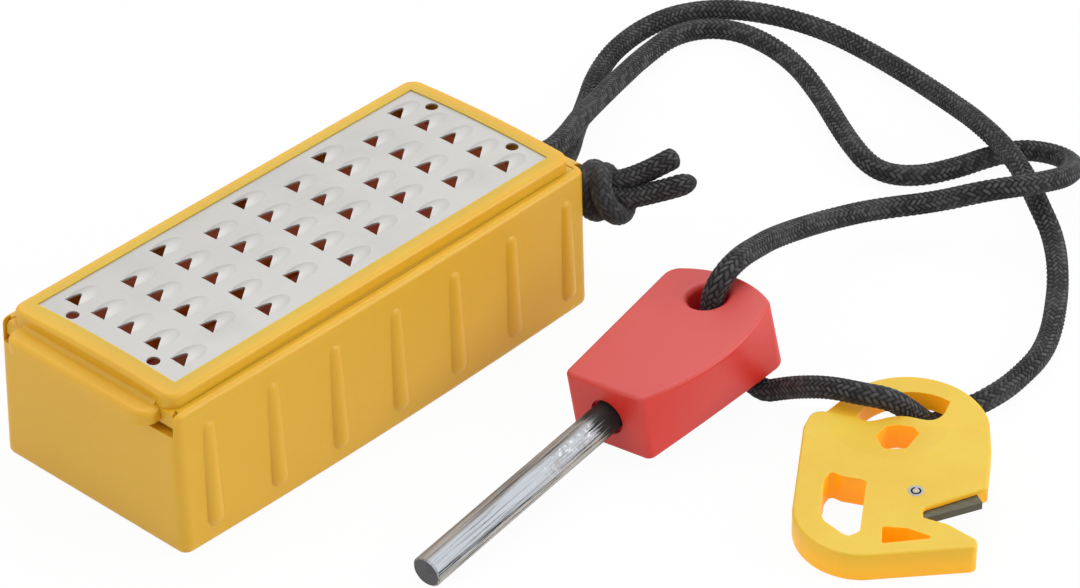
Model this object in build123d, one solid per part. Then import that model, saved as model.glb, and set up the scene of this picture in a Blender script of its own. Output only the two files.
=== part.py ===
# Tinder box with a sliding grater lid, a firesteel and a striker on one cord.
# Millimetres, +Z up. The origin is the middle of the box's foot, the pull tab faces -Y,
# and the firesteel and striker lie on the +X side.
from build123d import *
import math
import os

# Box shell
box_length = 110.6
box_width = 49.0
rim_height = 31.2
side_lean = 1.0
foot_bow = 1.0
rim_bow = 0.5
corner_radius = 2.2
foot_fillet = 1.6
rim_fillet = 1.1
wall = 2.2
back_rim_wall = 1.5
floor_thickness = 2.0
front_wall_height = 26.6

# Ribs on the two long sides
rib_count = 7
rib_pitch = 16.1
rib_shift = 1.0
rib_radius = 2.4
rib_bottom = 3.2
rib_top = 27.4
rib_relief_bottom = 1.0
rib_relief_top = 0.6

# Cord lug on the back wall
lug_width = 9.0
lug_depth = 9.2
lug_height = 12.8
lug_end_x = 15.3
lug_middle = 19.4
lug_slot_y = 4.9
lug_slot_clearance = 1.2
lug_slot_corner = 1.8
lug_corner = 4.0

# Lid and its channel
channel_floor = 27.7
lid_flange_width = 45.0
lid_flange_edge = 1.7
lid_width = 43.0
lid_setback = 1.1
lid_corner_radius = 3.0
lid_edge_fillet = 0.9
lid_side_clearance = 0.15
lid_lift_clearance = 0.08
lid_end_clearance = 0.2
crown_radius = 315.0
crown_height = 34.7

# Pull tab
tab_width = 37.6
tab_reach = 4.6
tab_bottom = 28.4
tab_thickness = 3.0
tab_corner_radius = 3.4
tab_edge_fillet = 1.1
tab_root_fillet = 0.9

# Grater plate
plate_thickness = 0.4
plate_drop = 0.3
window_width = 36.6
window_length = 99.8
plate_tuck = 1.2
plate_clearance = 0.04
locating_hole = 2.6
locating_hole_y = 48.0
locating_hole_x = 10.75

# Grater teeth
tooth_rows = 9
teeth_in_wide_row = 5
row_pitch = 10.75
tooth_pitch = 7.05
row_shift = -2.3
mouth_width = 3.7
mouth_length = 3.1
mouth_tip_radius = 0.45
dome_width = 4.2
dome_reach = 3.9
dome_height = 0.6

# Cord, knot and the cord's two short ends
cord_diameter = 4.5
strand_gap = 0.5
cord_corner_share = 0.45
cord_route = [
    (15.5, 60.2, 16.9), (9.8, 60.2, 16.9), (5.4, 60.4, 17.2), (2.9, 63.0, 16.2), (2.6, 67.8, 14.4),
    (-0.6, 75.2, 12.0), (-5.9, 83.4, 9.4), (-13.6, 93.3, 5.8), (-20.2, 103.6, 3.0), (-28.4, 116.5, 2.4),
    (-32.9, 129.3, 2.4), (-33.0, 143.7, 2.4), (-27.0, 154.1, 2.4), (-17.0, 160.3, 2.4), (-2.7, 163.3, 2.4),
    (15.1, 161.8, 2.4), (33.5, 157.2, 3.6), (49.5, 149.2, 7.6), (63.3, 143.0, 7.6), (75.0, 134.3, 7.3),
    (83.7, 129.1, 4.0), (93.2, 117.6, 2.4), (103.1, 101.0, 2.4), (105.2, 87.7, 2.4), (104.7, 79.0, 2.4),
    (103.4, 73.8, 2.4), (102.7, 69.0, 2.4), (102.5, 64.8, 3.1), (100.4, 61.3, 7.6), (98.3, 57.6, 11.4),
    (94.2, 54.2, 12.4), (87.9, 52.4, 11.8), (81.0, 53.4, 8.0), (75.1, 54.3, 4.2), (71.5, 53.3, 2.26),
    (67.0, 54.3, 2.26), (62.8, 54.3, 2.26), (59.8, 54.1, 4.1), (58.6, 53.9, 7.2), (58.4, 53.3, 12.0),
    (58.0, 52.6, 17.0), (58.9, 54.0, 22.3),
    (57.5, 61.4, 22.8), (55.6, 68.8, 20.6), (52.6, 77.9, 17.0), (50.0, 96.1, 10.5), (53.0, 109.7, 8.0),
    (61.6, 117.8, 9.5), (70.3, 122.4, 13.8), (76.7, 132.0, 13.8), (76.2, 142.0, 10.2), (72.6, 149.8, 7.0),
    (67.0, 154.9, 4.2), (61.2, 155.9, 2.8), (56.0, 153.4, 2.4), (52.8, 146.4, 2.4), (51.0, 140.0, 2.4),
    (47.4, 132.4, 2.4), (42.6, 128.2, 2.4), (36.6, 127.9, 2.4), (25.5, 133.5, 2.4), (12.9, 141.7, 2.4),
    (-0.2, 148.6, 2.4), (-13.3, 150.9, 2.4), (-22.1, 148.0, 2.4), (-26.6, 140.0, 2.4), (-24.7, 128.6, 3.4),
    (-19.7, 114.7, 6.2), (-14.1, 102.0, 9.6), (-7.6, 88.2, 13.8), (-1.0, 76.7, 17.8), (2.8, 68.0, 20.2),
    (2.9, 62.7, 21.5), (5.4, 60.2, 22.1), (9.8, 60.2, 21.9), (15.5, 60.2, 21.9)]
knot_radius = 4.0
knot_wraps = 3
knot_wrap_pitch = 4.4
knot_lean = 9.0
knot_middle = (62.0, 21.4)
knot_start_gap = 0.2
knot_core_radius = 5.4
knot_core_length = 10.6
tail_root = (26.0, 62.6, 22.6)
tail_ends = [(32.0, 73.0, 29.4), (37.2, 72.6, 26.2)]
tail_fillet = 0.9

# Firesteel
rod_diameter = 6.35
rod_free_length = 52.6
rod_socket_depth = 22.0
rod_edge = 0.4
socket_clearance = 0.05
socket_mouth = 7.5
socket_mouth_depth = 1.2
handle_length = 40.2
handle_front = 9.3
handle_rear_left = 12.6
handle_rear_right_top = 12.2
handle_rear_right_bottom = 13.4
handle_belly_top = 15.1
handle_belly_bottom = 11.4
handle_bow = 3.7
handle_thickness = 14.6
handle_front_radius = 1.6
handle_rear_radius = 3.5
handle_edge_fillet = 0.8
cord_hole = 7.8
cord_hole_place = 32.4
cord_hole_fillet = 1.4
firesteel_tip = (62.5, -31.5)
firesteel_heading = 92.9
firesteel_pitch = 5.6
firesteel_roll = 6.7

# Striker. Its outlines are in its own plane: x across, y from the jaw towards the ring
striker_edge = [(15.0, 5.0), (14.6, 7.2), (8.9, 10.5), (4.3, 11.5), (3.8, 13.8), (14.8, 21.4),
                (14.3, 32.0), (13.0, 40.0)]
ring_crown = (0.5, 50.8)
striker_ear = [(-15.6, 41.2), (-17.6, 38.0), (-20.2, 37.0), (-21.1, 32.6), (-19.7, 9.6)]
striker_heel = (-15.6, 2.2)
striker_foot = (-5.0, -0.8)
crescent_ends = [(-11.8, 37.5), (5.0, 45.0)]
crescent_crown = (-4.0, 46.2)
crescent_sill = [(4.4, 41.6), (1.5, 39.0), (-2.9, 39.4), (-6.6, 38.2), (-9.6, 36.8)]
ring_start = 37.4
wrist_hole = [(-7.5, 32.8), (-6.0, 36.0), (-3.8, 36.8), (-0.8, 36.6), (0.5, 34.8), (-1.3, 30.0), (-5.6, 29.2)]
finger_hole = [(-15.0, 18.4), (-14.2, 21.0), (-12.0, 20.0), (-7.3, 19.6), (-6.6, 5.6), (-8.4, 3.9),
               (-9.8, 4.5), (-13.4, 7.2), (-14.7, 9.8)]
recess = [(-2.8, 7.6), (1.9, 7.9), (7.2, 6.2), (-2.3, 3.0)]
outline_radius = 1.2
ear_radius = 2.0
foot_radius = 6.0
hole_radius = 0.9
striker_place = (124.2, 26.1)
striker_heading = 121.1
striker_tilt = 4.5
striker_thickness = 6.4
ring_thickness = 4.0
ring_base = 1.8
striker_edge_fillet = 0.5
recess_depth = 4.2
dish_middle = (-5.5, 37.5)
dish_radius = 11.3
dish_depth = 0.7
blade_thickness = 1.6
blade_width = 9.6
blade_length = 18.0
blade_angle = 32.0
blade_corner = (14.3, 18.3)
blade_clearance = 0.05
blade_lift = 1.4
blade_end = 14.3
blade_relief_length = 11.7
blade_relief_depth = 5.2
pin_place = (2.0, 18.3)
pin_diameter = 3.0
pin_wall = 0.5
pin_slit = 0.35
pin_clearance = 0.02

# Cutting blocks and selections
overrun = 5.0
deep_cut = 10.0
cutter = 60.0
match_tolerance = 0.05

cord_radius = cord_diameter / 2
back = box_length / 2
lid_front = lid_setback - back
lid_rear = back - back_rim_wall - lid_end_clearance


def bowed_outline(width, length, bow, radius):
    """Plan outline whose long sides bow out in the middle."""
    side, end = width / 2, length / 2
    face = make_face([
        Line((-side, -end), (side, -end)), ThreePointArc((side, -end), (side + bow, 0), (side, end)),
        Line((side, end), (-side, end)), ThreePointArc((-side, end), (-side - bow, 0), (-side, -end))])
    return fillet(face.vertices(), radius)


def leaned_block(width, length, base, top, radius):
    """Block whose long sides lean in towards the top."""
    foot = Plane.XY.offset(base) * bowed_outline(width, length, foot_bow, radius)
    roof = Plane.XY.offset(top) * bowed_outline(width - 2 * side_lean, length, rim_bow, radius)
    return loft([foot.face(), roof.face()])


def side_at(height, y):
    """Outer face of a long side wall at a height and a place along it."""
    share = height / rim_height
    bow = foot_bow + (rim_bow - foot_bow) * share
    return box_width / 2 - side_lean * share + bow * (1 - (y / back) ** 2)


def prism_along_length(points, start, end):
    """Prism along Y with its outline in X and Z, mirrored across the middle."""
    outline = points + [(-x, z) for x, z in reversed(points)]
    plane = Plane(origin=(0, end, 0), x_dir=(1, 0, 0), z_dir=(0, -1, 0))
    return extrude(plane * make_face(Polyline(*outline, close=True)), end - start)


def crown(height):
    """Everything below the crowned top at a height over the middle."""
    plane = Plane(origin=(0, box_length, height - crown_radius), z_dir=(0, -1, 0))
    return extrude(plane * Circle(crown_radius), 2 * box_length)


def rib(side, y):
    """Half-round rib that stands out less towards the rim."""
    low = Vector(side * (side_at(rib_bottom, y) + rib_relief_bottom - rib_radius), y, rib_bottom + rib_radius)
    high = Vector(side * (side_at(rib_top, y) + rib_relief_top - rib_radius), y, rib_top - rib_radius)
    axis = high - low
    bar = extrude(Plane(origin=low, z_dir=axis) * Circle(rib_radius), axis.length)
    return bar + Pos(low) * Sphere(rib_radius) + Pos(high) * Sphere(rib_radius)


def make_box_shell():
    shell = leaned_block(box_width, box_length, 0, rim_height, corner_radius)
    shell = fillet(shell.edges().group_by(Axis.Z)[-1], rim_fillet)
    shell = fillet(shell.edges().group_by(Axis.Z)[0], foot_fillet)
    for side in (1, -1):
        for number in range(rib_count):
            shell += rib(side, (number - (rib_count - 1) / 2) * rib_pitch + rib_shift)
    lug = Pos(lug_end_x - lug_width / 2, back + (lug_depth - wall) / 2, lug_middle) * Box(
        lug_width, lug_depth + wall, lug_height)
    shell += fillet(lug.edges().filter_by(Axis.X).group_by(Axis.Y)[-1], lug_corner)
    shell -= leaned_block(box_width - 2 * wall, box_length - 2 * wall, floor_thickness,
                          rim_height + overrun, corner_radius)
    half = lid_flange_width / 2 + lid_side_clearance
    lip = lid_width / 2 + lid_side_clearance
    front = -back - overrun
    shell -= prism_along_length(
        [(half, channel_floor), (half, channel_floor + lid_flange_edge + lid_lift_clearance),
         (lip, rim_height), (lip, rim_height + overrun)], front, back - back_rim_wall)
    notch_height = rim_height + overrun - front_wall_height
    shell -= Pos(0, -back, front_wall_height + notch_height / 2) * Box(
        2 * half, 2 * wall, notch_height)
    slot = Pos(lug_end_x - lug_width / 2, back + lug_slot_y, lug_middle) * Box(
        lug_width + overrun, cord_diameter + lug_slot_clearance,
        2 * cord_diameter + strand_gap + lug_slot_clearance)
    return shell - fillet(slot.edges().filter_by(Axis.X), lug_slot_corner)


def plate_blank(grow, lift):
    """The plate's sheet, cut from two crowned surfaces, with room around it."""
    top = crown_height - plate_drop + lift
    sheet = Pos(0, 0, top) * Box(
        window_width + 2 * (plate_tuck + grow), window_length + 2 * (plate_tuck + grow), deep_cut)
    return (sheet & crown(top)) - crown(top - plate_thickness - 2 * lift)


def make_lid_frame():
    flange = prism_along_length(
        [(lid_flange_width / 2, channel_floor + lid_lift_clearance),
         (lid_flange_width / 2, channel_floor + lid_flange_edge),
         (lid_width / 2, rim_height - lid_lift_clearance)],
        lid_front, lid_rear)
    border = Pos(0, (lid_front + lid_rear) / 2, channel_floor + lid_flange_edge) * extrude(
        RectangleRounded(lid_width, lid_rear - lid_front, lid_corner_radius),
        crown_height - channel_floor - lid_flange_edge)
    border &= crown(crown_height)
    border = fillet(border.edges().group_by(Axis.Z)[-1], lid_edge_fillet)
    tab = Pos(0, lid_front - tab_reach / 2, tab_bottom + tab_thickness / 2) * Box(
        tab_width, tab_reach, tab_thickness)
    tab = fillet(tab.edges().filter_by(Axis.Z).group_by(Axis.Y)[0], tab_corner_radius)
    tab = fillet(tab.edges().group_by(Axis.Z)[-1].filter_by(
        lambda e: e.center().Y < lid_front - match_tolerance), tab_edge_fillet)
    root = Pos(0, lid_front - tab_root_fillet / 2, tab_bottom + tab_thickness + tab_root_fillet / 2) * Box(
        tab_width - 2 * tab_edge_fillet, tab_root_fillet, tab_root_fillet)
    root -= Pos(0, lid_front - tab_root_fillet, tab_bottom + tab_thickness + tab_root_fillet) * Rot(
        0, 90, 0) * Cylinder(tab_root_fillet, tab_width)
    frame = flange + border + tab + root
    frame -= Pos(0, 0, rim_height) * Box(window_width, window_length, cutter)
    return frame - plate_blank(plate_clearance, plate_clearance)


def tooth_parts():
    """Pressed dome, the hollow under it, and the mouth that is cut in front."""
    cross = (dome_width ** 2 / 4 + dome_height ** 2) / (2 * dome_height)
    along = (dome_reach ** 2 + dome_height ** 2) / (2 * dome_height)
    middle = Pos(0, mouth_length, dome_height - along) * Rot(0, 90, 0)
    outer = middle * Torus(along - cross, cross)
    inner = middle * Torus(along - cross, cross - plate_thickness)
    room = Pos(0, deep_cut / 2, 0) * Box(deep_cut, deep_cut, deep_cut)
    mouth = make_face(Polyline((-mouth_width / 2, 0), (mouth_width / 2, 0), (0, mouth_length), close=True))
    mouth = fillet(mouth.vertices().sort_by(Axis.Y)[-1], mouth_tip_radius)
    return outer & room, inner & room, extrude(mouth, overrun / 2, both=True)


def tooth_places():
    for row in range(tooth_rows):
        count = teeth_in_wide_row - row % 2
        for number in range(count):
            x = (number - (count - 1) / 2) * tooth_pitch
            drop = crown_radius - math.sqrt(crown_radius ** 2 - x ** 2)
            lean = math.degrees(math.asin(x / crown_radius))
            y = (row - (tooth_rows - 1) / 2) * row_pitch + row_shift
            yield Pos(x, y, crown_height - plate_drop - drop) * Rot(0, lean, 0)


def make_grater_plate():
    dome, hollow, mouth = tooth_parts()
    below = crown(crown_height - plate_drop - plate_thickness)
    plate = plate_blank(0, 0)
    domes = [place * dome for place in tooth_places()]
    cuts = [place * hollow for place in tooth_places()] + [place * mouth for place in tooth_places()]
    plate = plate + [piece - below for piece in domes]
    plate = plate - cuts
    for x in (-locating_hole_x, locating_hole_x):
        for y in (-locating_hole_y, locating_hole_y):
            plate -= Pos(x, y, rim_height) * Cylinder(locating_hole / 2, cutter)
    return plate


def on_floor(pieces):
    """Lower a group until its lowest point rests on the floor."""
    low = min(piece.bounding_box().min.Z for piece in pieces)
    return [Pos(0, 0, -low) * piece for piece in pieces]


def handle_outline(rear_right, belly):
    """The handle seen from above, with its right side bowed out to given widths."""
    front, rear = rod_free_length, rod_free_length + handle_length - handle_bow
    left, right = (rear, handle_rear_left), (rear, -rear_right)
    outline = make_face([
        Line((front, handle_front), left),
        ThreePointArc(left, (rod_free_length + handle_length, 0), right),
        ThreePointArc(right, ((front + rear) / 2, -belly), (front, -handle_front)),
        Line((front, -handle_front), (front, handle_front))])
    corners = outline.vertices().group_by(Axis.X)
    outline = fillet(corners[0], handle_front_radius)
    return fillet(outline.vertices().filter_by(lambda v: abs(v.X - rear) < match_tolerance),
                  handle_rear_radius)


def make_firesteel():
    start = rod_free_length
    rod = extrude(Plane.YZ * Circle(rod_diameter / 2), rod_free_length + rod_socket_depth)
    rod = chamfer(rod.edges().group_by(Axis.X)[0], rod_edge)
    below = Plane.XY.offset(-handle_thickness / 2) * handle_outline(
        handle_rear_right_bottom, handle_belly_bottom)
    above = Plane.XY.offset(handle_thickness / 2) * handle_outline(handle_rear_right_top, handle_belly_top)
    handle = loft([below.face(), above.face()])
    ends = handle.edges().group_by(Axis.Z)
    handle = fillet(ends[0] + ends[-1], handle_edge_fillet)
    handle -= Pos(start + cord_hole_place, 0, 0) * Cylinder(cord_hole / 2, cutter)
    mouths = handle.edges().filter_by(GeomType.CIRCLE).filter_by(
        lambda e: abs(e.radius - cord_hole / 2) < match_tolerance)
    handle = fillet(mouths, cord_hole_fillet)
    before = Plane.YZ.offset(start - overrun)
    bore = before * Circle(rod_diameter / 2 + socket_clearance)
    handle -= extrude(bore, overrun + rod_socket_depth + socket_clearance)
    handle -= extrude(before * Circle(socket_mouth / 2), overrun + socket_mouth_depth)
    pose = (Pos(*firesteel_tip, rod_diameter / 2) * Rot(0, 0, firesteel_heading)
            * Rot(0, -firesteel_pitch, 0) * Rot(-firesteel_roll, 0, 0))
    return on_floor([pose * handle, pose * rod])


def rounded(points, radius):
    face = make_face(Polyline(*points, close=True))
    return fillet(face.vertices(), radius)


def corners_at(face, places):
    """A face's corners at the given places."""
    return [v for v in face.vertices() if any(
        (Vector(*place) - v.center()).length < match_tolerance for place in places)]


def striker_outline():
    """The whole outline, with the ring's arch and the round heel as arcs."""
    foot = ThreePointArc(striker_ear[-1], striker_heel, striker_foot)
    arch = ThreePointArc(striker_edge[-1], ring_crown, striker_ear[0])
    face = make_face([Line(striker_foot, striker_edge[0]), Polyline(*striker_edge), arch,
                      Polyline(*striker_ear), foot])
    face = fillet(corners_at(face, striker_edge[:2] + striker_edge[4:6]), outline_radius)
    face = fillet(corners_at(face, [striker_foot]), foot_radius)
    return fillet(corners_at(face, striker_ear[2:4]), ear_radius)


def make_striker():
    face = striker_outline()
    solid = extrude(face, striker_thickness)
    ends = solid.edges().group_by(Axis.Z)
    solid = fillet(ends[0] + ends[-1], striker_edge_fillet)
    ring_middle = ring_start + cutter / 2
    solid -= Pos(0, ring_middle, 0) * Box(cutter, cutter, 2 * ring_base)
    solid -= Pos(0, ring_middle, striker_thickness) * Box(
        cutter, cutter, 2 * (striker_thickness - ring_base - ring_thickness))
    dish = (dish_radius ** 2 + dish_depth ** 2) / (2 * dish_depth)
    solid -= Pos(*dish_middle, striker_thickness - dish_depth + dish) * Sphere(dish)
    left, right = crescent_ends
    crescent = make_face([ThreePointArc(left, crescent_crown, right), Line(right, crescent_sill[0]),
                          Spline(*crescent_sill, left)])
    for hole in (crescent, rounded(wrist_hole, hole_radius), rounded(finger_hole, hole_radius)):
        solid -= extrude(hole, striker_thickness * 2, both=True)
    solid -= Pos(0, 0, striker_thickness - recess_depth) * extrude(rounded(recess, hole_radius / 2), overrun)
    corner = Pos(*blade_corner, striker_thickness / 2 + blade_lift) * Rot(0, 0, blade_angle)
    middle = corner * Pos(-blade_length / 2, blade_width / 2, 0)
    blade = middle * Box(blade_length, blade_width, blade_thickness)
    blade -= Pos(blade_end + cutter / 2, 0, 0) * Box(cutter, cutter, cutter)
    pin_spot = Pos(*pin_place, striker_thickness / 2)
    blade -= pin_spot * Cylinder(pin_diameter / 2 + pin_clearance, 2 * striker_thickness)
    grown = 2 * blade_clearance
    solid -= middle * Box(blade_length + grown, blade_width + grown, blade_thickness + grown)
    solid -= corner * Pos((overrun - blade_relief_length) / 2, blade_relief_depth / 2,
                          -(striker_thickness + blade_thickness) / 2) * Box(
        blade_relief_length + overrun, blade_relief_depth, striker_thickness)
    solid -= corner * Pos(overrun / 2, blade_relief_depth / 2, 0) * Box(
        overrun, blade_relief_depth, blade_thickness + grown)
    solid -= pin_spot * Cylinder(pin_diameter / 2 + pin_clearance, 2 * striker_thickness)
    pin = pin_spot * Cylinder(pin_diameter / 2, striker_thickness)
    pin -= pin_spot * Cylinder(pin_diameter / 2 - pin_wall, striker_thickness)
    pin += pin_spot * Cylinder(pin_diameter / 2 - pin_wall - pin_slit, striker_thickness)
    pin += pin_spot * Pos(0, (pin_diameter - pin_wall) / 2 - pin_slit, 0) * Box(
        pin_wall, 2 * pin_wall, striker_thickness)
    pose = Pos(*striker_place, 0) * Rot(0, 0, striker_heading - 90) * Rot(striker_tilt, 0, 0)
    return on_floor([pose * solid, pose * blade, pose * pin])


def bend_radii(points):
    """The largest bend that each corner of a route has room for."""
    for before, corner, after in zip(points, points[1:], points[2:]):
        first, second = corner - before, after - corner
        half_turn = math.radians(first.get_angle(second)) / 2
        yield cord_corner_share * min(first.length, second.length) / math.tan(half_turn)


def make_cord():
    """One length of cord from the knot round both tools and back to the knot."""
    points = [Vector(*place) for place in cord_route]
    radii = list(bend_radii(points))
    path = FilletPolyline(*points, radius=radii)
    cord = sweep(Plane(origin=points[0], z_dir=points[1] - points[0]) * Circle(cord_radius), path=path)
    section = math.pi * cord_radius ** 2
    tight = [round(radius, 1) for radius in sorted(radii)[:12]]
    print(f"cord length {path.length:.1f}, tightest bends {tight}")
    print(f"cord volume over section and length {cord.volume / section / path.length:.4f}")
    return cord


def make_knot():
    """Wraps round both strands beside the lug, with the cord's two short ends."""
    start = lug_end_x + knot_start_gap
    middle = Vector(start, *knot_middle)
    knot = extrude(Plane(origin=middle, z_dir=(1, 0, 0)) * Circle(knot_core_radius), knot_core_length)
    for number in range(knot_wraps):
        lean = knot_lean if number else 0
        place = Pos(middle + Vector(cord_radius + number * knot_wrap_pitch, 0, 0))
        knot += place * Rot(0, 0, lean) * Rot(0, 90, 0) * Torus(knot_radius, cord_radius)
    root = Vector(*tail_root)
    for tip in tail_ends:
        along = Vector(*tip) - root
        tail = extrude(Plane(origin=root, z_dir=along) * Circle(cord_radius), along.length)
        rim = tail.edges().sort_by(lambda e: (e.center() - root).length)[-1]
        knot += fillet(rim, tail_fillet)
    return knot


if __name__ == "__main__":
    os.makedirs("parts", exist_ok=True)
    pieces = {"box_shell": make_box_shell(), "lid_frame": make_lid_frame(),
              "grater_plate": make_grater_plate()}
    pieces["firesteel_handle"], pieces["firesteel_rod"] = make_firesteel()
    pieces["striker_body"], pieces["striker_blade"], pieces["striker_pin"] = make_striker()
    pieces["lanyard_cord"], pieces["lanyard_knot"] = make_cord(), make_knot()
    for name, piece in pieces.items():
        export_step(piece, f"parts/{name}.step")
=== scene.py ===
import bpy
import math
import numpy as np
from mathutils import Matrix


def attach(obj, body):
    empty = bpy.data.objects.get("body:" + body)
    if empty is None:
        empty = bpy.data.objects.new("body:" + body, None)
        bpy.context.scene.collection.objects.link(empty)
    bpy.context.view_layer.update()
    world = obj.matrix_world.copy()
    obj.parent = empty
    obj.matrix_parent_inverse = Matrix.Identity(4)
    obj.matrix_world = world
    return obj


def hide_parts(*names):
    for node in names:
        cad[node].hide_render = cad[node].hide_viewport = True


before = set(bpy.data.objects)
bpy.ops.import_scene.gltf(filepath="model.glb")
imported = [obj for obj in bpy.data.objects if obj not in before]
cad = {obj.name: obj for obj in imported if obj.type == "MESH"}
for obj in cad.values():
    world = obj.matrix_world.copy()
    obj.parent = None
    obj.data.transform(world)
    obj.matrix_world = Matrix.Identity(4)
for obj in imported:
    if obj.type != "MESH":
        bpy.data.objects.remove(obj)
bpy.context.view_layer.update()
scene = bpy.context.scene
print("frame loaded with", len(cad), "nodes")

# Camera: the photograph's own place and lens, in metres and degrees
view = {
    "place": (0.5111, -0.49075, 0.51285),
    "turn": (55.0655, 0.1421, 42.3679),
    "lens": 150.48,
    "sensor": 36.0,
}


def addCamera():
    camera = bpy.data.objects.new("viewCamera", bpy.data.cameras.new("viewCamera"))
    camera.data.lens = view["lens"]
    camera.data.sensor_width = view["sensor"]
    camera.location = view["place"]
    camera.rotation_euler = [math.radians(angle) for angle in view["turn"]]
    scene.collection.objects.link(camera)
    scene.camera = camera


addCamera()
print("camera set")


# Shader helpers
noiseMiddle = 0.5


def addNode(tree, kind, sockets=None, **settings):
    node = tree.nodes.new("ShaderNode" + kind)
    for name, value in settings.items():
        setattr(node, name, value)
    for name, value in (sockets or {}).items():
        if isinstance(value, bpy.types.NodeSocket):
            tree.links.new(value, node.inputs[name])
        else:
            node.inputs[name].default_value = value
    return node


def calculate(tree, operation, first, second=0.0, clamp=False):
    node = addNode(tree, "Math", {0: first, 1: second}, operation=operation, use_clamp=clamp)
    return node.outputs[0]


def add(tree, first, second):
    return calculate(tree, "ADD", first, second)


def multiply(tree, first, *others):
    for other in others:
        first = calculate(tree, "MULTIPLY", first, other)
    return first


def inverse(tree, mask):
    return calculate(tree, "SUBTRACT", 1.0, mask)


def distance(tree, value, middle):
    return calculate(tree, "ABSOLUTE", calculate(tree, "SUBTRACT", value, middle))


def between(tree, value, low, high):    # 0 at low, 1 at high, soft in between
    node = addNode(tree, "MapRange", {"Value": value, "From Min": low, "From Max": high},
                   interpolation_type="SMOOTHSTEP")
    return node.outputs[0]


def mixColours(tree, share, first, second):
    node = addNode(tree, "Mix", {0: share, 6: first, 7: second}, data_type="RGBA")
    return node.outputs[2]


def solid(colour):
    return (*colour, 1.0)


def noise(tree, vector, scale, detail=2.0, rough=0.5):
    node = addNode(tree, "TexNoise",
                   {"Vector": vector, "Scale": scale, "Detail": detail, "Roughness": rough})
    return node.outputs[0]


def scaled(tree, vector, scale):
    return addNode(tree, "Mapping", {"Vector": vector, "Scale": scale}).outputs[0]


def pieceCoordinates(tree):
    return addNode(tree, "TexCoord").outputs["Object"]


def turnedCoordinates(tree, angle):    # the piece's coordinates, turned about the vertical
    turn = (0, 0, math.radians(angle))
    return addNode(tree, "Mapping", {"Vector": pieceCoordinates(tree), "Rotation": turn}).outputs[0]


def newMaterial(name, values):
    material = bpy.data.materials.new(name)
    material.use_nodes = True
    tree = material.node_tree
    shader = tree.nodes["Principled BSDF"]
    for socket, value in values.items():
        shader.inputs[socket].default_value = value
    return material, tree, shader


def addRoughness(tree, shader, mask, smoothest, spread):
    rough = add(tree, multiply(tree, mask, spread), smoothest)
    tree.links.new(rough, shader.inputs["Roughness"])


def addBump(tree, shader, height, strength, depth):
    bump = addNode(tree, "Bump", {"Height": height, "Strength": strength, "Distance": depth})
    tree.links.new(bump.outputs[0], shader.inputs["Normal"])


def newGroup(name, inputs, outputs):
    group = bpy.data.node_groups.new(name, "ShaderNodeTree")
    for socket, kind in inputs.items():
        group.interface.new_socket(socket, in_out="INPUT", socket_type="NodeSocket" + kind)
    for socket in outputs:
        group.interface.new_socket(socket, in_out="OUTPUT", socket_type="NodeSocketFloat")
    return group, group.nodes.new("NodeGroupInput").outputs


def giveOut(group, results):
    ends = group.nodes.new("NodeGroupOutput")
    for name, value in results.items():
        group.links.new(value, ends.inputs[name])
    return group


def placeGroup(tree, group, **values):
    node = tree.nodes.new("ShaderNodeGroup")
    node.node_tree = group
    for name, value in values.items():
        if isinstance(value, bpy.types.NodeSocket):
            tree.links.new(value, node.inputs[name])
        else:
            node.inputs[name].default_value = value
    return node.outputs


def dress(node, material):
    slots = cad[node].data.materials
    slots.clear()
    slots.append(material)


# Effects that several materials share; each Detail is a noise's detail and roughness
mould = {
    "patchDetail": (3.0, 0.5),
    "patchEdges": (0.3, 0.7),
    "grainDetail": (3.0, 0.6),
    "scuffStretch": (1.0, 5.0, 2.0),
    "scuffScale": 90.0,
    "scuffDetail": (4.0, 0.5),
    "scuffWidth": 0.012,
    "rubbedScale": 55.0,
    "rubbedEdges": (0.58, 0.7),
    # the next two place the painted hollow colour and the painted glow in shade
    "hollowEdges": (0.25, 0.9),         # how open a place is, from 0 closed to 1 open
    "shadedEdges": (0.5, 0.95),
    "opennessSamples": 8,
    "waxRadius": (1.0, 0.42, 0.10),     # how far red, green and blue light run inside
    "roughSpread": 0.12,
    "bump": (0.25, 0.00004),            # strength, and depth in metres
}
streaks = {
    "broadStretch": (0.05, 1.0, 1.0),
    "broadDetail": (3.0, 0.6),
    "fineStretch": (0.08, 5.0, 5.0),
    "fineDetail": (4.0, 0.7),
    "stainScale": 60.0,
    "stainDetail": (3.0, 0.55),
}


def mouldSkinGroup():    # fine moulded texture with slow shade changes and light scuffs
    group, inputs = newGroup(
        "mouldSkin", {"Vector": "Vector", "Grain": "Float", "Patches": "Float"},
        ["Tone", "Grain", "Scuffs"])
    vector = inputs["Vector"]
    patches = noise(group, vector, inputs["Patches"], *mould["patchDetail"])
    grain = noise(group, vector, inputs["Grain"], *mould["grainDetail"])
    stretched = scaled(group, vector, mould["scuffStretch"])
    lines = noise(group, stretched, mould["scuffScale"], *mould["scuffDetail"])
    off = distance(group, lines, noiseMiddle)
    scuffs = inverse(group, between(group, off, 0.0, mould["scuffWidth"]))
    rubbed = between(group, noise(group, vector, mould["rubbedScale"]), *mould["rubbedEdges"])
    return giveOut(group, {
        "Tone": between(group, patches, *mould["patchEdges"]),
        "Grain": grain,
        "Scuffs": multiply(group, scuffs, rubbed),
    })


def mouldFormGroup():    # masks for hollows, for shade and for upright faces, where painted hollow colour, painted glow and painted side shading go
    group, inputs = newGroup(
        "mouldForm", {"Openness": "Float", "Normal": "Vector"}, ["Hollow", "Shaded", "Upright"])
    openness = inputs["Openness"]
    facing = addNode(group, "SeparateXYZ", {0: inputs["Normal"]}).outputs["Z"]
    return giveOut(group, {
        "Hollow": inverse(group, between(group, openness, *mould["hollowEdges"])),
        "Shaded": inverse(group, between(group, openness, *mould["shadedEdges"])),
        "Upright": inverse(group, calculate(group, "ABSOLUTE", facing)),
    })


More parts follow.
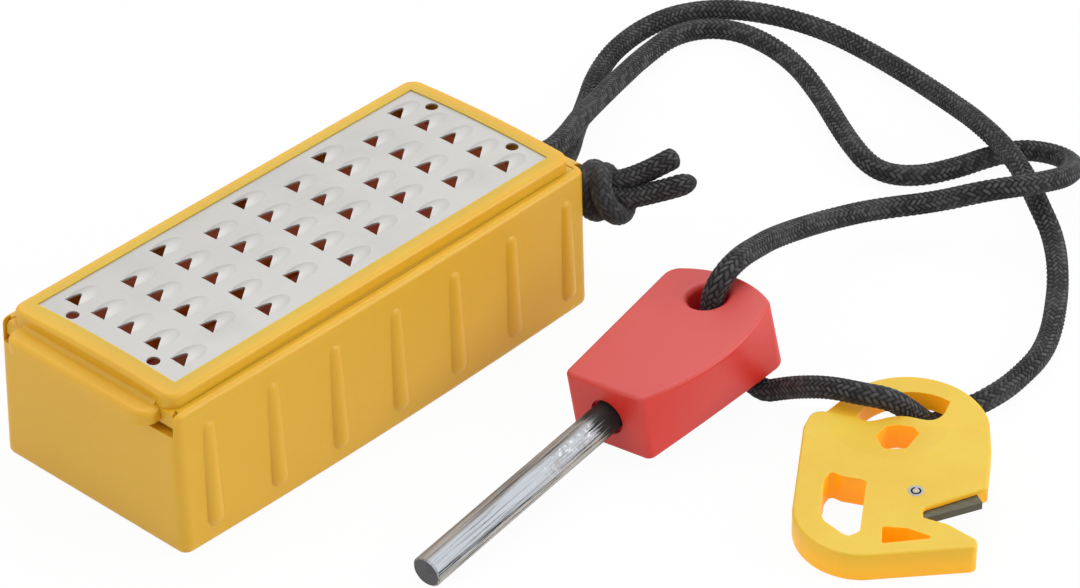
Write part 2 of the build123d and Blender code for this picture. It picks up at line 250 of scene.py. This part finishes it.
def metalStreaksGroup():    # long lines along the vector's X, broad ones and hair-thin ones
    group, inputs = newGroup(
        "metalStreaks", {"Vector": "Vector", "Density": "Float"}, ["Broad", "Fine", "Stain"])
    vector = inputs["Vector"]
    density = inputs["Density"]
    broad = scaled(group, vector, streaks["broadStretch"])
    fine = scaled(group, vector, streaks["fineStretch"])
    return giveOut(group, {
        "Broad": noise(group, broad, density, *streaks["broadDetail"]),
        "Fine": noise(group, fine, density, *streaks["fineDetail"]),
        "Stain": noise(group, vector, streaks["stainScale"], *streaks["stainDetail"]),
    })


mouldSkin = mouldSkinGroup()
mouldForm = mouldFormGroup()
metalStreaks = metalStreaksGroup()
print("shared effects built")

# Cord: the route through the lug, the striker and the handle, in metres
cord = {
    "diameter": 0.0045,
    "carriers": 12,             # strands each way round, a multiple of over
    "over": 2,                  # how many strands a stitch passes over, and then under
    "stitch": 0.00125,          # one stitch along the cord
    "relief": 0.00038,          # crown to valley
    "stitchEnd": 0.35,          # a stitch's height at its ends
    "leastRelief": 0.6,         # share of the relief left where the cord is worn
    "drift": 0.0055,            # length of the slow changes in the braid
    "turnWaves": [(0.02, 1.0, 0.0), (0.015, 1.7, 6.3)],     # size, rate along, rate round
    "pullWaves": [(0.3, 0.9, 6.3), (0.2, 2.3, 0.0)],
    "fullWaves": [(0.8, 6.3, 0.0), (1.3, -6.3, 2.0)],       # rate along, rate round, start
    "scatter": (12.99, 78.23, 37.7, 437.58),                # uneven, for each stitch's shade
    "seamToward": (0.3, 0.2, 1.0),                          # any direction off the cord's own
    "pathStep": 0.001,
    "ringStep": 0.00020,
    "ringPoints": 72,
    "curveSteps": 16,
    "tipEnd": 0.12,
    # the valley and crown tones are painted shade between the stitches and a painted highlight on
    # their crowns
    "valleyPaintedShade": (0.004, 0.004, 0.0045),
    "crownPaintedHighlight": (0.078, 0.078, 0.082),
    "crownEdges": (0.4, 1.0),
    "fibreScale": 5200.0,
    "fibreDetail": (2.0, 0.7),
    "fibreLift": 0.35,
    "shadeLift": 0.3,
    # patches where the painted crown highlight is stronger or weaker
    "highlightPatchScale": 240.0,
    "highlightPatchDetail": (3.0, 0.5),
    "highlightPatchLift": 0.65,
    "roughness": 0.78,
    "gloss": 0.22,
    "sheen": 0.04,
    "sheenRoughness": 0.5,
    "bump": (0.6, 0.00012),
}
cordRoute = [
    (0.0155, 0.0602, 0.0169), (0.0098, 0.0602, 0.0169), (0.0054, 0.0604, 0.0172),
    (0.0029, 0.063, 0.0162), (0.0026, 0.0678, 0.0144), (-0.0006, 0.0752, 0.012),
    (-0.0059, 0.0834, 0.0094), (-0.0136, 0.0933, 0.0058), (-0.0202, 0.1036, 0.003),
    (-0.0284, 0.1165, 0.0024), (-0.0329, 0.1293, 0.0024), (-0.033, 0.1437, 0.0024),
    (-0.027, 0.1541, 0.0024), (-0.017, 0.1603, 0.0024), (-0.0027, 0.1633, 0.0024),
    (0.0151, 0.1618, 0.0024), (0.0335, 0.1572, 0.0036), (0.0495, 0.1492, 0.0076),
    (0.0633, 0.143, 0.0076), (0.075, 0.1343, 0.0073), (0.0837, 0.1291, 0.004),
    (0.0932, 0.1176, 0.0024), (0.1031, 0.101, 0.0024), (0.1052, 0.0877, 0.0024),
    (0.1047, 0.079, 0.0024), (0.1034, 0.0738, 0.0024), (0.1027, 0.069, 0.0024),
    (0.1025, 0.0648, 0.0031), (0.1004, 0.0613, 0.0076), (0.0983, 0.0576, 0.0114),
    (0.0942, 0.0542, 0.0124), (0.0879, 0.0524, 0.0118), (0.081, 0.0534, 0.008),
    (0.0751, 0.0543, 0.0042), (0.0715, 0.0533, 0.00226), (0.067, 0.0543, 0.00226),
    (0.0628, 0.0543, 0.00226), (0.0598, 0.0541, 0.0041), (0.0586, 0.0539, 0.0072),
    (0.0584, 0.0533, 0.012), (0.058, 0.0526, 0.017), (0.0589, 0.054, 0.0223),
    (0.0575, 0.0614, 0.0228), (0.0556, 0.0688, 0.0206), (0.0526, 0.0779, 0.017),
    (0.05, 0.0961, 0.0105), (0.053, 0.1097, 0.008), (0.0616, 0.1178, 0.0095),
    (0.0703, 0.1224, 0.0138), (0.0767, 0.132, 0.0138), (0.0762, 0.142, 0.0102),
    (0.0726, 0.1498, 0.007), (0.067, 0.1549, 0.0042), (0.0612, 0.1559, 0.0028),
    (0.056, 0.1534, 0.0024), (0.0528, 0.1464, 0.0024), (0.051, 0.14, 0.0024),
    (0.0474, 0.1324, 0.0024), (0.0426, 0.1282, 0.0024), (0.0366, 0.1279, 0.0024),
    (0.0255, 0.1335, 0.0024), (0.0129, 0.1417, 0.0024), (-0.0002, 0.1486, 0.0024),
    (-0.0133, 0.1509, 0.0024), (-0.0221, 0.148, 0.0024), (-0.0266, 0.14, 0.0024),
    (-0.0247, 0.1286, 0.0034), (-0.0197, 0.1147, 0.0062), (-0.0141, 0.102, 0.0096),
    (-0.0076, 0.0882, 0.0138), (-0.001, 0.0767, 0.0178), (0.0028, 0.068, 0.0202),
    (0.0029, 0.0627, 0.0215), (0.0054, 0.0602, 0.0221), (0.0098, 0.0602, 0.0219),
    (0.0155, 0.0602, 0.0219)]


def smoothLine(name, points):
    curve = bpy.data.curves.new(name, "CURVE")
    curve.dimensions = "3D"
    curve.resolution_u = cord["curveSteps"]
    spline = curve.splines.new("NURBS")
    spline.points.add(len(points) - 1)
    for control, place in zip(spline.points, points):
        control.co = (*place, 1.0)
    spline.order_u = 3
    spline.use_endpoint_u = True
    guide = bpy.data.objects.new(name, curve)
    mesh = bpy.data.meshes.new_from_object(guide)
    line = np.array([vertex.co for vertex in mesh.vertices])
    bpy.data.objects.remove(guide)
    bpy.data.meshes.remove(mesh)
    return line


def evenLine(line, step):
    reach = np.concatenate([[0], np.cumsum(np.linalg.norm(np.diff(line, axis=0), axis=1))])
    stops = np.linspace(0, reach[-1], int(round(reach[-1] / step)) + 1)
    return np.stack([np.interp(stops, reach, line[:, axis]) for axis in range(3)], 1), stops


def ringAxes(line):    # two directions across the line that turn as little as they can
    along = np.gradient(line, axis=0)
    along /= np.linalg.norm(along, axis=1)[:, None]
    side = np.cross(along[0], cord["seamToward"])
    sides = []
    for direction in along:
        side = side - direction * (side @ direction)
        side = side / np.linalg.norm(side)
        sides.append(side)
    sides = np.array(sides)
    return sides, np.cross(along, sides)


def wandered(value, waves, slow, around):
    for size, alongRate, roundRate in waves:
        value = value + size * np.sin(alongRate * slow + roundRate * around)
    return value


def fullness(slow, around):    # 1 where the braid stands full, 0 where it is worn flat
    product = 0.5
    for alongRate, roundRate, start in cord["fullWaves"]:
        product = product * np.sin(alongRate * slow + roundRate * around + start)
    return 0.5 + product


# The braid: each strand lies over two others for a stitch, then under two.
# Gives the height, 1 on a stitch's crown, and each stitch's own shade.
def stitches(reach, around):
    slow = reach / cord["drift"]
    turned = wandered(around, cord["turnWaves"], slow, around)
    pulled = wandered(reach / cord["stitch"], cord["pullWaves"], slow, around)
    first = turned * cord["carriers"] + pulled
    second = turned * cord["carriers"] - pulled
    row, column = np.floor(first), np.floor(second)
    over = cord["over"]
    step = np.mod(row + column, 2 * over)
    onTop = step < over
    across = np.where(onTop, first - row, second - column)
    lengthwise = np.where(onTop, step + second - column, step - over + first - row) / over
    crown = np.sqrt(np.sin(np.pi * across)) * (
        cord["stitchEnd"] + (1 - cord["stitchEnd"]) * np.sqrt(np.sin(np.pi * lengthwise)))
    least = cord["leastRelief"]
    height = 1 - (1 - crown) * (least + (1 - least) * fullness(slow, around))
    strand = np.mod(np.where(onTop, row, column), cord["carriers"])
    turn = np.mod(np.floor((row + column) / (2 * over)), cord["carriers"] / over)
    strandRate, turnRate, topRate, spread = cord["scatter"]
    shade = np.mod(np.sin(strandRate * strand + turnRate * turn + topRate * onTop) * spread, 1)
    return np.clip(height, 0, 1), shade


def braidedTube(line, radius, tipLength=0.0, tightness=0.0):
    rings, reach = evenLine(line, cord["ringStep"])
    sides, ups = ringAxes(rings)
    count = cord["ringPoints"]
    around = np.arange(count) / count
    height, shade = stitches(reach[:, None], around[None, :])
    height, shade = 1 - (1 - height) * (1 - tightness), shade * (1 - tightness)
    wide = radius - cord["relief"] * (1 - height)
    if tipLength:    # a melted, rounded end
        left = np.clip((reach[-1] - reach) / tipLength, 0, 1)
        wide = wide * np.sqrt(1 - (1 - left) ** 2)[:, None].clip(cord["tipEnd"], 1)
    angle = 2 * np.pi * around
    across = (np.cos(angle)[None, :, None] * sides[:, None]
              + np.sin(angle)[None, :, None] * ups[:, None])
    places = (rings[:, None] + wide[..., None] * across).reshape(-1, 3)
    ring, spot = np.meshgrid(np.arange(len(rings) - 1) * count, np.arange(count), indexing="ij")
    after = (spot + 1) % count
    corners = [ring + spot, ring + after, ring + count + after, ring + count + spot]
    faces = np.stack(corners, -1).reshape(-1, 4).tolist()
    caps = [list(range(count))[::-1], list(range(len(places) - count, len(places)))]
    return places, faces + caps, height.reshape(-1), shade.reshape(-1)


def tubesPiece(name, tubes, material, body, replaced):
    places, faces, heights, shades, base = [], [], [], [], 0
    for tubePlaces, tubeFaces, tubeHeights, tubeShades in tubes:
        places.append(tubePlaces)
        faces += [[corner + base for corner in face] for face in tubeFaces]
        heights.append(tubeHeights)
        shades.append(tubeShades)
        base += len(tubePlaces)
    mesh = bpy.data.meshes.new(name)
    mesh.from_pydata(np.concatenate(places).tolist(), [], faces)
    for attribute, values in (("stitchHeight", heights), ("stitchShade", shades)):
        mesh.attributes.new(attribute, "FLOAT", "POINT").data.foreach_set(
            "value", np.concatenate(values).astype(np.float32))
    mesh.shade_smooth()
    mesh.materials.append(material)
    piece = bpy.data.objects.new(name, mesh)
    scene.collection.objects.link(piece)
    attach(piece, body)
    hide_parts(replaced)
    return piece


def cordMaterial():
    material, tree, shader = newMaterial("blackBraid", {
        "Roughness": cord["roughness"],
        "Specular IOR Level": cord["gloss"],
        "Sheen Weight": cord["sheen"],
        "Sheen Roughness": cord["sheenRoughness"],
    })
    where = pieceCoordinates(tree)
    height = addNode(tree, "Attribute", attribute_name="stitchHeight").outputs["Fac"]
    shade = addNode(tree, "Attribute", attribute_name="stitchShade").outputs["Fac"]
    fibre = noise(tree, where, cord["fibreScale"], *cord["fibreDetail"])
    highlightPatches = noise(tree, where, cord["highlightPatchScale"], *cord["highlightPatchDetail"])
    # painted highlight on the stitches' crowns, in patches, over painted shade in the valleys
    paintedCrownLight = multiply(tree, between(tree, height, *cord["crownEdges"]),
                    add(tree, fibre, cord["fibreLift"]), add(tree, shade, cord["shadeLift"]))
    paintedCrownLight = calculate(tree, "MULTIPLY", paintedCrownLight, add(tree, highlightPatches, cord["highlightPatchLift"]), True)
    colour = mixColours(tree, paintedCrownLight, solid(cord["valleyPaintedShade"]), solid(cord["crownPaintedHighlight"]))
    tree.links.new(colour, shader.inputs["Base Color"])
    addBump(tree, shader, fibre, *cord["bump"])
    return material


# Knot: the cord's two ends wound round themselves beside the lug
knot = {
    "start": (0.0177, 0.0622, 0.0206),
    "end": (0.0254, 0.0624, 0.0222),
    "turns": 1.85,
    "pointsPerTurn": 12,
    "startLean": (6.0, 2.0),    # how far the wraps' axis turns to the back and rises, in degrees
    "endLean": (33.0, 26.0),
    "radius": 0.0040,
    "tuckedIn": [(0.0232, 0.0640, 0.0206), (0.0222, 0.0626, 0.0222)],
    "tails": [
        [(0.0155, 0.0602, 0.0219), (0.0190, 0.0612, 0.0218), (0.0225, 0.0616, 0.0216),
         (0.0264, 0.0638, 0.0213), (0.0286, 0.0655, 0.0221), (0.0308, 0.0674, 0.0230),
         (0.0335, 0.0694, 0.0242), (0.0372, 0.0724, 0.0261)],
        [(0.0155, 0.0602, 0.0169), (0.0185, 0.0616, 0.0200), (0.0210, 0.0630, 0.0232),
         (0.0245, 0.0650, 0.0240), (0.0275, 0.0680, 0.0258), (0.0300, 0.0705, 0.0278),
         (0.0320, 0.0730, 0.0294)],
    ],
    "tipLengths": [0.0036, 0.0016],
    "tightness": 0.35,          # how far the drawn wraps lose their stitches
}


def wrapPoints():
    start, end = np.array(knot["start"]), np.array(knot["end"])
    count = int(knot["turns"] * knot["pointsPerTurn"])
    points = []
    for number in range(count + 1):
        share = number / count
        turn = 2 * math.pi * knot["turns"] * share
        heading, rise = [math.radians(low + (high - low) * share)
                         for low, high in zip(knot["startLean"], knot["endLean"])]
        across = np.array((-math.sin(heading), math.cos(heading), 0.0))
        up = np.array((-math.sin(rise) * math.cos(heading), -math.sin(rise) * math.sin(heading),
                       math.cos(rise)))
        middle = start + (end - start) * share
        points.append(middle + knot["radius"] * (math.cos(turn) * across + math.sin(turn) * up))
    return points + [np.array(place) for place in knot["tuckedIn"]]


def knotTubes():
    radius = cord["diameter"] / 2
    wraps = braidedTube(smoothLine("wrapLine", wrapPoints()), radius, tightness=knot["tightness"])
    tails = [braidedTube(smoothLine("tailLine", tail), radius, tipLength)
             for tail, tipLength in zip(knot["tails"], knot["tipLengths"])]
    return [wraps] + tails


blackBraid = cordMaterial()
cordLine = smoothLine("cordLine", cordRoute)
cordPiece = tubesPiece("lanyardCord", [braidedTube(cordLine, cord["diameter"] / 2)], blackBraid,
                       "box", "lanyard_cord")
knotPiece = tubesPiece("lanyardKnot", knotTubes(), blackBraid, "box", "lanyard_knot")

# Box and lid: yellow moulded plastic, slightly waxy
box = {
    "tone": (0.72, 0.425, 0.020),
    "deepTone": (0.68, 0.375, 0.012),
    # the side, hollow and glow tones below are painted light: painted side shading, painted orange
    # bounce light in hollows, and a painted glow on the box's inside
    "paintedSideTone": (0.70, 0.40, 0.016),
    "scuffTone": (0.80, 0.55, 0.12),
    "paintedHollowTone": (0.74, 0.34, 0.006),
    "paintedGlowTone": (0.048, 0.014, 0.012),
    "insideHalf": (0.0229, 0.0542),     # the painted glow stays on the box's inner faces
    "insideHeight": (0.001, 0.0265),
    "scuffs": 0.15,
    "paintedHollowShare": 0.6,
    "hollowReach": 0.004,
    "ownHollows": True,
    "grain": 2400.0,
    "patches": 22.0,
    "waxDepth": 0.003,
    "waxShare": 0.35,
    "smoothest": 0.38,
    "gloss": 0.5,
}


def insideBox(tree):    # 1 on the faces of the box's inside, where the painted glow goes
    x, y, z = addNode(tree, "SeparateXYZ", {0: pieceCoordinates(tree)}).outputs
    halfWidth, halfLength = box["insideHalf"]
    low, high = box["insideHeight"]
    return multiply(
        tree,
        calculate(tree, "LESS_THAN", calculate(tree, "ABSOLUTE", x), halfWidth),
        calculate(tree, "LESS_THAN", calculate(tree, "ABSOLUTE", y), halfLength),
        calculate(tree, "GREATER_THAN", z, low),
        calculate(tree, "LESS_THAN", z, high))


def mouldedMaterial(name, look, glowPlace=None):    # painted glow at glowPlace, or else where it lies in shade; also painted hollow colour and painted side shading
    material, tree, shader = newMaterial(name, {
        "Specular IOR Level": look["gloss"],
        "Subsurface Weight": look["waxShare"],
        "Subsurface Scale": look["waxDepth"],
        "Subsurface Radius": mould["waxRadius"],
        "Emission Strength": 1.0,
    })
    skin = placeGroup(tree, mouldSkin, Vector=pieceCoordinates(tree), Grain=look["grain"],
                      Patches=look["patches"])
    nearby = addNode(tree, "AmbientOcclusion", {"Distance": look["hollowReach"]},
                     samples=mould["opennessSamples"], only_local=look["ownHollows"])
    form = placeGroup(tree, mouldForm, Openness=nearby.outputs["AO"],
                      Normal=addNode(tree, "TexCoord").outputs["Normal"])
    colour = mixColours(tree, skin["Tone"], solid(look["tone"]), solid(look["deepTone"]))
    # upright faces take their own tone: painted shading that sets sides apart from tops
    colour = mixColours(tree, form["Upright"], colour, solid(look["paintedSideTone"]))
    scuffed = multiply(tree, skin["Scuffs"], look["scuffs"])
    colour = mixColours(tree, scuffed, colour, solid(look["scuffTone"]))
    # painted bounce light and shade in hollows: a deeper, more saturated colour where the piece is
    # closed in
    paintedHollow = multiply(tree, form["Hollow"], look["paintedHollowShare"])
    colour = mixColours(tree, paintedHollow, colour, solid(look["paintedHollowTone"]))
    tree.links.new(colour, shader.inputs["Base Color"])
    # a painted glow, emitted though the piece is no lamp
    lit = glowPlace(tree) if glowPlace else form["Shaded"]
    glow = mixColours(tree, lit, solid((0, 0, 0)), solid(look["paintedGlowTone"]))
    tree.links.new(glow, shader.inputs["Emission Color"])
    addRoughness(tree, shader, skin["Grain"], look["smoothest"], mould["roughSpread"])
    addBump(tree, shader, skin["Grain"], *mould["bump"])
    return material


yellowPlastic = mouldedMaterial("yellowPlastic", box, insideBox)
dress("box_shell", yellowPlastic)
dress("lid_frame", yellowPlastic)
print("box and lid dressed")

# Grater plate: thin bright sheet with fine lengthwise rolling lines
plate = {
    "tone": (0.475, 0.468, 0.455),
    "dullTone": (0.39, 0.383, 0.37),
    "angle": 90.0,
    "density": 900.0,
    "stainEdges": (0.4, 0.75),
    "stainShare": 0.4,
    "lineShare": 0.25,
    "metal": 0.55,
    "smoothest": 0.42,
    "roughSpread": 0.16,
    "bump": (0.15, 0.00003),
}


def plateMaterial():
    material, tree, shader = newMaterial("sheetSteel", {"Metallic": plate["metal"]})
    lines = placeGroup(tree, metalStreaks, Vector=turnedCoordinates(tree, plate["angle"]),
                       Density=plate["density"])
    stained = between(tree, lines["Stain"], *plate["stainEdges"])
    dull = add(tree, multiply(tree, stained, plate["stainShare"]),
               multiply(tree, lines["Fine"], plate["lineShare"]))
    colour = mixColours(tree, dull, solid(plate["tone"]), solid(plate["dullTone"]))
    tree.links.new(colour, shader.inputs["Base Color"])
    addRoughness(tree, shader, lines["Broad"], plate["smoothest"], plate["roughSpread"])
    addBump(tree, shader, lines["Fine"], *plate["bump"])
    return material


dress("grater_plate", plateMaterial())
print("grater plate dressed")

# Firesteel: matte red handle, dark rod scraped bright on one side
handle = {
    # tops take this tone, red with a painted pinkish sheen; the side, hollow and glow tones below
    # are painted side shading, a painted deeper red in hollows and a painted red glow in shade
    "tone": (0.585, 0.056, 0.049),
    "deepTone": (0.55, 0.046, 0.040),
    "paintedSideTone": (0.66, 0.022, 0.012),
    "scuffTone": (0.75, 0.25, 0.20),
    "paintedHollowTone": (0.66, 0.012, 0.008),
    "paintedGlowTone": (0.07, 0.0, 0.004),
    "scuffs": 0.3,
    "paintedHollowShare": 0.5,
    "hollowReach": 0.006,
    "ownHollows": True,
    "grain": 2600.0,
    "patches": 40.0,
    "waxDepth": 0.0010,
    "waxShare": 0.08,
    "smoothest": 0.44,
    "gloss": 0.65,
}
rod = {
    "tip": (0.0625, -0.0315, 0.0032),
    "heading": 92.9,
    "pitch": 5.6,
    "stopLength": 0.0470,               # where the scraping ends before the handle
    "stopSoft": 0.0008,
    "stopRagged": 0.020,
    "coatTone": (0.018, 0.017, 0.018),
    "scrapedTone": (0.46, 0.49, 0.53),
    "brownTone": (0.36, 0.34, 0.325),
    "paleTone": (0.46, 0.44, 0.41),
    "lineTone": (0.03, 0.03, 0.028),
    "lumpTone": (0.78, 0.77, 0.80),
    "endTone": (0.085, 0.085, 0.09),
    "endDepth": (0.00005, 0.0001),
    "brightBand": (-0.78, 0.56, 0.12),  # middle, half width and softness round the rod, in
    "brownBand": (-0.8, 1.9, 0.2),      # radians from the top toward the left
    "paleBand": (-1.65, 0.5, 0.15),
    "brightLines": (0.28, 0.5),         # the fine lines that show in each
    "brownLines": (0.3, 0.6),
    "darkLines": (0.5, 0.56),
    "density": 620.0,
    "lumpReach": (0.030, 0.050),
    "lumpDensity": 1100.0,
    "lumpDetail": (3.0, 0.6),
    "lumpEdges": (0.58, 0.64),
    "pitEdges": (0.45, 0.38),
    "metal": 0.3,
    "gloss": 0.2,
    "smoothest": 0.5,
    "roughSpread": 0.12,
    "bump": (0.5, 0.00012),
}


def band(tree, angle, middle, half, soft):    # 1 round a place on the rod, fading to 0
    return inverse(tree, between(tree, distance(tree, angle, middle), half - soft, half + soft))


def scrapedEnd(tree, reach, fine):    # 1 up to the ragged end of the scraping
    uneven = calculate(tree, "SUBTRACT", fine, noiseMiddle)
    ragged = multiply(tree, uneven, rod["stopRagged"])
    return inverse(tree, between(tree, add(tree, reach, ragged),
                                 rod["stopLength"] - rod["stopSoft"],
                                 rod["stopLength"] + rod["stopSoft"]))


def lumpyPatch(tree, reach):    # 1 midway along the lumpy stretch, fading to 0 at its ends
    low, high = rod["lumpReach"]
    off = distance(tree, reach, (low + high) / 2)
    return inverse(tree, between(tree, off, (high - low) / 4, (high - low) / 2))


def rodMaterial():
    material, tree, shader = newMaterial("scrapedRod", {"Specular IOR Level": rod["gloss"]})
    turn = (0, math.radians(-rod["pitch"]), math.radians(rod["heading"]))
    own = addNode(tree, "Mapping", {
        "Vector": pieceCoordinates(tree), "Location": rod["tip"], "Rotation": turn},
        vector_type="TEXTURE").outputs[0]
    reach, across, up = addNode(tree, "SeparateXYZ", {0: own}).outputs
    lines = placeGroup(tree, metalStreaks, Vector=own, Density=rod["density"])
    fine = lines["Fine"]
    lumps = noise(tree, own, rod["lumpDensity"], *rod["lumpDetail"])
    angle = add(tree, calculate(tree, "ARCTAN2", across, up),
                calculate(tree, "SUBTRACT", lines["Broad"], noiseMiddle))
    stop = scrapedEnd(tree, reach, fine)
    bright = multiply(tree, band(tree, angle, *rod["brightBand"]), stop,
                      between(tree, fine, *rod["brightLines"]))
    brown = multiply(tree, band(tree, angle, *rod["brownBand"]), stop,
                     between(tree, fine, *rod["brownLines"]))
    pale = multiply(tree, band(tree, angle, *rod["paleBand"]), stop)
    dark = multiply(tree, pale, between(tree, fine, *rod["darkLines"]))
    patch = multiply(tree, lumpyPatch(tree, reach), bright)
    tip = inverse(tree, between(tree, reach, *rod["endDepth"]))
    colour = solid(rod["coatTone"])
    for share, tone in (
            (brown, "brownTone"),
            (pale, "paleTone"),
            (bright, "scrapedTone"),
            (multiply(tree, patch, between(tree, lumps, *rod["lumpEdges"])), "lumpTone"),
            (multiply(tree, patch, between(tree, lumps, *rod["pitEdges"])), "brownTone"),
            (dark, "lineTone"),
            (tip, "endTone")):
        colour = mixColours(tree, share, colour, solid(rod[tone]))
    tree.links.new(colour, shader.inputs["Base Color"])
    bare = multiply(tree, calculate(tree, "MAXIMUM", bright, brown), rod["metal"])
    tree.links.new(bare, shader.inputs["Metallic"])
    addRoughness(tree, shader, bright, rod["smoothest"], rod["roughSpread"])
    addBump(tree, shader, add(tree, fine, multiply(tree, lumps, patch)), *rod["bump"])
    return material


dress("firesteel_handle", mouldedMaterial("redPlastic", handle))
dress("firesteel_rod", rodMaterial())
print("firesteel dressed")

# Striker: paler matte yellow body, dark blade, steel spring pin
striker = {
    "tone": (0.735, 0.515, 0.041),
    "deepTone": (0.705, 0.46, 0.029),
    # the side, hollow and glow tones below are painted light: painted side shading, painted bright
    # orange bounce light in hollows, and a painted orange glow in shade
    "paintedSideTone": (0.83, 0.485, 0.013),
    "scuffTone": (0.88, 0.68, 0.25),
    "paintedHollowTone": (0.90, 0.42, 0.008),
    "paintedGlowTone": (0.22, 0.085, 0.0),
    "scuffs": 0.2,
    "paintedHollowShare": 0.85,
    "hollowReach": 0.009,
    "ownHollows": False,                # the cord and the floor close it in as well, so the painted glow and hollow colour gather near them too
    "grain": 3000.0,
    "patches": 60.0,
    "waxDepth": 0.0015,
    "waxShare": 0.35,
    "smoothest": 0.44,
    "gloss": 0.5,
}
blade = {
    "darkTone": (0.074, 0.070, 0.046),
    "brightTone": (0.13, 0.125, 0.088),
    "angle": 153.1,
    "density": 1500.0,
    "metal": 0.7,
    "smoothest": 0.32,
}
pin = {
    "darkTone": (0.22, 0.22, 0.21),
    "brightTone": (0.42, 0.41, 0.37),
    "angle": 0.0,
    "density": 2500.0,
    "metal": 1.0,
    "smoothest": 0.28,
}
steel = {
    "lineEdges": (0.35, 0.7),
    "roughSpread": 0.2,
    "bump": (0.2, 0.00004),
}


def steelMaterial(name, look):
    material, tree, shader = newMaterial(name, {"Metallic": look["metal"]})
    lines = placeGroup(tree, metalStreaks, Vector=turnedCoordinates(tree, look["angle"]),
                       Density=look["density"])
    bright = between(tree, lines["Fine"], *steel["lineEdges"])
    colour = mixColours(tree, bright, solid(look["darkTone"]), solid(look["brightTone"]))
    tree.links.new(colour, shader.inputs["Base Color"])
    addRoughness(tree, shader, lines["Broad"], look["smoothest"], steel["roughSpread"])
    addBump(tree, shader, lines["Fine"], *steel["bump"])
    return material


dress("striker_body", mouldedMaterial("strikerPlastic", striker))
dress("striker_blade", steelMaterial("bladeSteel", blade))
dress("striker_pin", steelMaterial("pinSteel", pin))
print("striker dressed")

# Studio: pale floor, white surroundings and four large soft lamps
studio = {
    "floorSize": 6.0,
    "floorTone": (0.86, 0.86, 0.86),
    "floorGlow": 0.96,
    "worldLevel": 0.55,
    "white": (1.0, 1.0, 1.0),
    "lamps": {
        "topLamp": {"place": (-0.15, 0.25, 1.10), "size": 0.9, "power": 5.2},
        "backLamp": {"place": (-0.85, 0.95, 0.80), "size": 0.9, "power": 1.35},
        "rightLamp": {"place": (1.00, 0.75, 0.55), "size": 0.7, "power": 8.0},
        "frontLamp": {"place": (-0.45, -1.05, 0.60), "size": 0.7, "power": 3.2},
    },
}


def seenDirectly(tree):    # 1 for what the camera, a mirror or glass sees, 0 for light on surfaces
    path = addNode(tree, "LightPath").outputs
    seen = calculate(tree, "MAXIMUM", path["Is Camera Ray"], path["Is Glossy Ray"])
    return calculate(tree, "MAXIMUM", seen, path["Is Transmission Ray"])


def addFloor():
    half = studio["floorSize"] / 2
    corners = [(-half, -half, 0), (half, -half, 0), (half, half, 0), (-half, half, 0)]
    mesh = bpy.data.meshes.new("floor")
    mesh.from_pydata(corners, [], [(0, 1, 2, 3)])
    material = bpy.data.materials.new("paleFloor")
    material.use_nodes = True
    tree = material.node_tree
    tree.nodes.clear()
    matte = addNode(tree, "BsdfDiffuse", {"Color": solid(studio["floorTone"])})
    glow = addNode(tree, "Emission", {"Color": solid(studio["white"]), "Strength": 1.0})
    share = multiply(tree, seenDirectly(tree), studio["floorGlow"])
    mixed = addNode(tree, "MixShader", {0: share, 1: matte.outputs[0], 2: glow.outputs[0]})
    addNode(tree, "OutputMaterial", {"Surface": mixed.outputs[0]})
    mesh.materials.append(material)
    floor = bpy.data.objects.new("floor", mesh)
    scene.collection.objects.link(floor)


def addWorld():
    world = bpy.data.worlds.new("whiteRoom")
    world.use_nodes = True
    scene.world = world
    tree = world.node_tree
    background = tree.nodes["Background"]
    background.inputs["Color"].default_value = solid(studio["white"])
    rest = multiply(tree, seenDirectly(tree), 1.0 - studio["worldLevel"])
    tree.links.new(add(tree, rest, studio["worldLevel"]), background.inputs["Strength"])


def addLamps():
    for name, lamp in studio["lamps"].items():
        data = bpy.data.lights.new(name, "AREA")
        data.energy = lamp["power"]
        data.shape = "SQUARE"
        data.size = lamp["size"]
        light = bpy.data.objects.new(name, data)
        light.location = lamp["place"]
        toward = -light.location
        light.rotation_euler = toward.to_track_quat("-Z", "Y").to_euler()
        scene.collection.objects.link(light)


addFloor()
addWorld()
addLamps()
scene.view_settings.view_transform = "Standard"
print("studio set")
